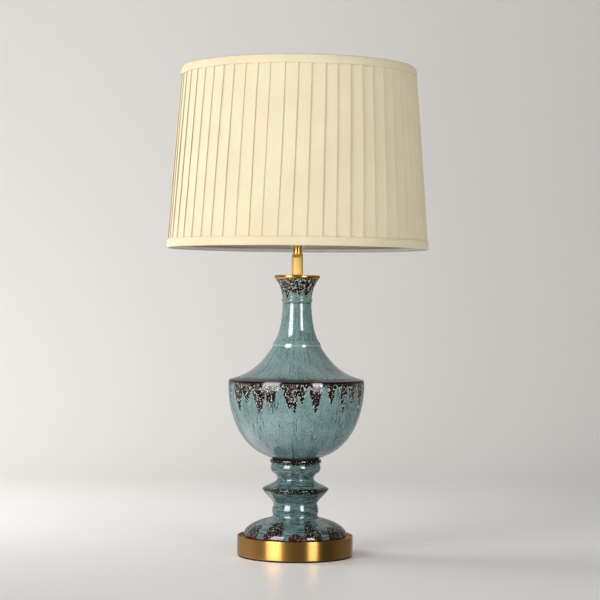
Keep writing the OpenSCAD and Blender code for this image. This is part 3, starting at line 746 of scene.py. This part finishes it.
def make_small_parts():
    finishes = {
        "base_pad": plain_paint("foam_pad", (20, 20, 20), 0.9, 0, 1500, 0.0002),
        "base_weight": plain_paint("cast_iron", (60, 58, 56), 0.7, 0.6, 500, 0.0004),
        "cord_bushing": plain_paint("black_plastic", (24, 24, 24), 0.5, 0, 900),
        "body_gasket": plain_paint("gasket", (10, 7, 6), 0.9, 0, 700),
        "socket_insulator": plain_paint("insulating_board", (176, 158, 120), 0.9, 0, 300),
    }
    for name, material in finishes.items():
        repaint(name, material)
    steel = plain_paint("zinc_steel", (190, 190, 188), 0.35, 1.0, 900)
    for name in ("lock_washer", "base_nut", "threaded_rod", "bulb_contact"):
        repaint(name, steel)
    wire = brass_paint("harp_wire", (214, 176, 104), 0.3, 0.3)
    for name in ("harp", "harp_stud"):
        repaint(name, wire)
    bright = brass_paint("socket_brass", (206, 165, 92), 0.22, 0.3)
    for name in ("socket_cap", "socket_shell", "centre_contact", "terminal_screws"):
        repaint(name, bright)
    bakelite = plain_paint("bakelite", (22, 20, 19), 0.25, 0, 600, 0.00005)
    for name in ("switch_housing", "switch_key", "bulb_insulator"):
        repaint(name, bakelite)
    aluminium = plain_paint("aluminium", (205, 205, 204), 0.3, 1.0, 900)
    for name in ("screw_shell", "bulb_cap"):
        repaint(name, aluminium)
    white = plain_paint("white_wire", (226, 224, 216), 0.4, 0, 1200, 0.00008)
    for name in ("shade_spider", "shade_top_ring", "shade_bottom_ring"):
        repaint(name, white)
    frosted = Paint("bulb_glass")
    etch = frosted.noise(frosted.place(), 900, 3, 0.6)
    frosted.set(Base_Color=(0.94, 0.94, 0.92), Roughness=frosted.step(etch, 0.2, 0.8, 0.3, 0.42))
    frosted.set(IOR=1.5, Transmission_Weight=0.25)
    frosted.set(Normal=frosted.bump(etch, 0.00003, 0.4))
    repaint("bulb_glass", frosted.material)
    clear = Paint("mount_glass")
    clear.set(Base_Color=(0.9, 0.92, 0.9), Roughness=0.08, IOR=1.5)
    clear.set(Transmission_Weight=0.8)
    repaint("bulb_mount", clear.material)


# --- Shade ----------------------------------------------------------------------------

SHADE_BOTTOM, SHADE_TOP = 467.0, 742.0
SHADE_R_BOTTOM, SHADE_R_TOP = 200.0, 179.6
TRIM_H, RIM_GAP = 13.0, 1.0
PLEATS = 58
FIRST_EDGE = -2.45
TWIST = 2.2


def shade_r(z):
    """Outer radius of the shade's wall at a height, in mm."""
    share = (z - SHADE_BOTTOM) / (SHADE_TOP - SHADE_BOTTOM)
    return SHADE_R_BOTTOM + (SHADE_R_TOP - SHADE_R_BOTTOM) * share


def pleat_section():
    """One knife pleat from above: (share of the pitch, tuck in mm, depth in mm) points.

    A pleat's face starts under the last pleat's fold, comes out, rises to its own fold,
    turns back under itself for the tuck, and turns again into the next face.
    """
    points = []
    for i in range(12):
        share = i / 11
        points.append((share, 0.0, -2.0 + 1.8 * share**1.3 - 0.2 * math.sin(math.pi * share)))
    for i in range(1, 6):
        turn = math.radians(90 - 180 * i / 6)
        points.append((1.0, 0.4 * math.cos(turn), -0.6 + 0.4 * math.sin(turn)))
    points += [(1.0, -0.5, -1.05), (1.0, -3.0, -1.2), (1.0, -6.2, -1.4)]
    for i in range(1, 4):
        turn = math.radians(90 + 180 * i / 4)
        points.append((1.0, -6.5 + 0.3 * math.cos(turn), -1.75 + 0.3 * math.sin(turn)))
    points += [(1.0, -6.0, -2.1), (1.0, -3.0, -2.1)]
    return points


def make_pleats(cloth):
    draw = random.Random(3)
    rows = 44
    bottom, top = SHADE_BOTTOM + RIM_GAP, SHADE_TOP - RIM_GAP
    wander = [
        (draw.gauss(0, 0.26), draw.gauss(0, 0.2), draw.uniform(0.3, 1.0), draw.uniform(0, 6.3),
         draw.gauss(0, 0.18))
        for _ in range(PLEATS)
    ]

    def edge_angle(index, t):
        shift, lean, wave, phase, _ = wander[index % PLEATS]
        bow = 0.12 * wave * math.sin(math.pi * t * 1.6 + phase)
        held = min(1.0, 6 * t, 6 * (1 - t))
        angle = FIRST_EDGE + index * 360 / PLEATS + shift + TWIST * t
        return math.radians(angle + lean * (t - 0.5) + bow * held)

    section = pleat_section()
    points = []
    for row in range(rows + 1):
        t = row / rows
        z = bottom + (top - bottom) * t
        loose = math.sin(math.pi * t) ** 0.6
        for pleat in range(PLEATS):
            start, end = edge_angle(pleat - 1, t), edge_angle(pleat, t)
            proud = wander[pleat][4] * loose
            for share, tuck, depth in section:
                lift = depth * (0.62 + 0.38 * loose) + proud * share
                r = shade_r(z) - 1.1 + 0.7 * loose + lift
                angle = start + (end - start) * share + tuck / r
                points.append((r * math.sin(angle) * MM, -r * math.cos(angle) * MM, z * MM))
    count = PLEATS * len(section)
    faces = [
        (row * count + i, row * count + (i + 1) % count,
         (row + 1) * count + (i + 1) % count, (row + 1) * count + i)
        for row in range(rows) for i in range(count)
    ]
    piece = new_object("pleated_cloth", points, faces)
    stand_in(piece, "shade_fabric", "shade", cloth)
    tuck = 6.8 * 2


def make_trim(name, node, rim, turn_in, roll, cloth):
    """A strip of cloth folded over a rim; turn_in is +1 at the bottom rim, -1 at the top.

    roll is how far, in mm, the band leans in at the fold.
    """
    thick, inside_depth, inner_h = 0.55, 4.9, 13.0
    edge = rim + turn_in * TRIM_H

    def outline():
        outer = [
            (shade_r(z) - 0.35 - roll * max(0, 1 - abs(z - rim) / 12) ** 2
             - 0.4 * max(0, 1 - abs(z - edge) / 2.5) ** 2, z)
            for z in np.linspace(edge, rim + turn_in * 1.2, 16)
        ]
        r = shade_r(rim) - roll
        fold = [
            (r - 0.5 - (inside_depth - roll - 0.9) * k / 8,
             rim + turn_in * (0.9 * (abs(k / 4 - 1)) ** 2.5))
            for k in range(9)
        ]
        inner = [
            (shade_r(z) - inside_depth, z)
            for z in np.linspace(rim + turn_in * 1.6, rim + turn_in * inner_h, 5)
        ]
        return outer + fold + inner

    line = outline()
    back = [(r - thick, z) for r, z in line[:16]]
    back += [(r, z + turn_in * thick) for r, z in line[16:25]]
    back += [(r + thick, z) for r, z in line[25:]]
    closed = line + back[::-1]

    def ripple(angle, r, z):
        turn = (np.degrees(angle) - FIRST_EDGE) * PLEATS / 360
        over = np.clip(np.abs(z - rim) / TRIM_H, 0, 1)
        outer = r > shade_r(z) - 2.5
        wave = 0.28 * (turn - np.floor(turn)) ** 2 * over
        sway = 0.25 * np.sin(5 * angle + 1) + 0.2 * np.sin(13 * angle)
        near_edge = np.clip((over - 0.6) / 0.4, 0, 1)
        return r + np.where(outer, wave, 0), z + turn_in * np.where(outer, sway * near_edge, 0)

    # Painted shade: 1 on the cloth turned inside the shade, 0.35 along the fold over the top
    # rim.
    def cloth_painted_shade(angle, r, z):
        top_fold_shade = 0.35 if turn_in < 0 else 0.0
        fold = np.where(np.abs(z - rim) < 0.9, top_fold_shade, 0.0)
        return np.where(r < shade_r(z) - 2.5, 1.0, fold)

    piece = turned(name, closed, 464, {"cloth_painted_shade": cloth_painted_shade}, ripple)
    stand_in(piece, node, "shade", cloth)


def make_liner():
    """White lining with its lap seam at the back."""
    depth, thick = 3.75, 0.9
    outline = [
        (shade_r(z) - depth, z)
        for z in np.linspace(SHADE_BOTTOM + RIM_GAP, SHADE_TOP - RIM_GAP, 24)
    ]
    outline += [(r - thick, z) for r, z in outline[::-1]]

    def seam(angle, r, z):
        lap = np.clip(3.5 - np.abs(degrees_apart(angle, 180)), 0, 0.5) * 2
        inner = r < shade_r(z) - depth - thick / 2
        return r - np.where(inner, 0.45 * lap, 0), z

    piece = turned("liner_lapped", outline, 720, shape=seam)
    lining = plain_paint("liner", (214, 209, 198), 0.7, 0, 900, 0.00006, 0.96)
    stand_in(piece, "shade_liner", "shade", lining)


def make_shade():
    make_pleats(cloth_paint("pleated_cloth", (240, 229, 196), (236, 224, 190)))
    band = cloth_paint("trim_cloth", (240, 228, 194), (235, 223, 188))
    make_trim("bottom_band", "shade_bottom_trim", SHADE_BOTTOM, 1, 0.3, band)
    make_trim("top_band", "shade_top_trim", SHADE_TOP, -1, 1.8, band)
    make_liner()


make_camera()
make_floor()
make_lights()
make_ceramic()
make_brass()
make_small_parts()
make_shade()
